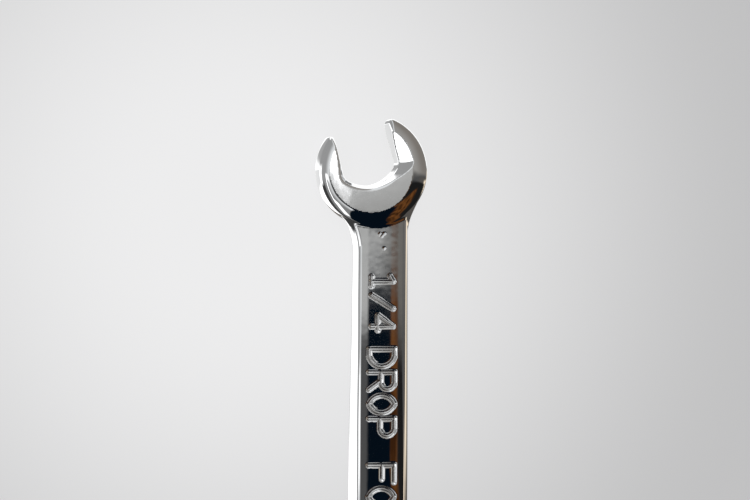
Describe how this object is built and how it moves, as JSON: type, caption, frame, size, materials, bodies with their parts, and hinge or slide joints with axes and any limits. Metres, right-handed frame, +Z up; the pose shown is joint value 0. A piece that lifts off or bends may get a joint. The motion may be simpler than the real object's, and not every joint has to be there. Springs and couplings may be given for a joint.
{
  "type": "combination wrench",
  "caption": "Slim chrome combination wrench with an angled open jaw at one end and a tilted multi-point ring at the other.",
  "frame": {"origin": "centre of the box socket, on its axis, halfway through the ring", "axes": "+X along the shank from the ring to the open jaw, +Z up with the marked face on top, as the wrench lies on a bench; the jaw opens towards +X, turned 15 degrees towards +Y"},
  "size_m": [0.1079, 0.0122, 0.0068],
  "materials": {
    "polished_chrome": "polished"
  },
  "bodies": {
    "root": {"open_end_head": "polished_chrome", "shank": "polished_chrome", "box_end_head": "polished_chrome", "front_panel": "polished_chrome", "back_panel": "polished_chrome"}
  },
  "joints": []
}
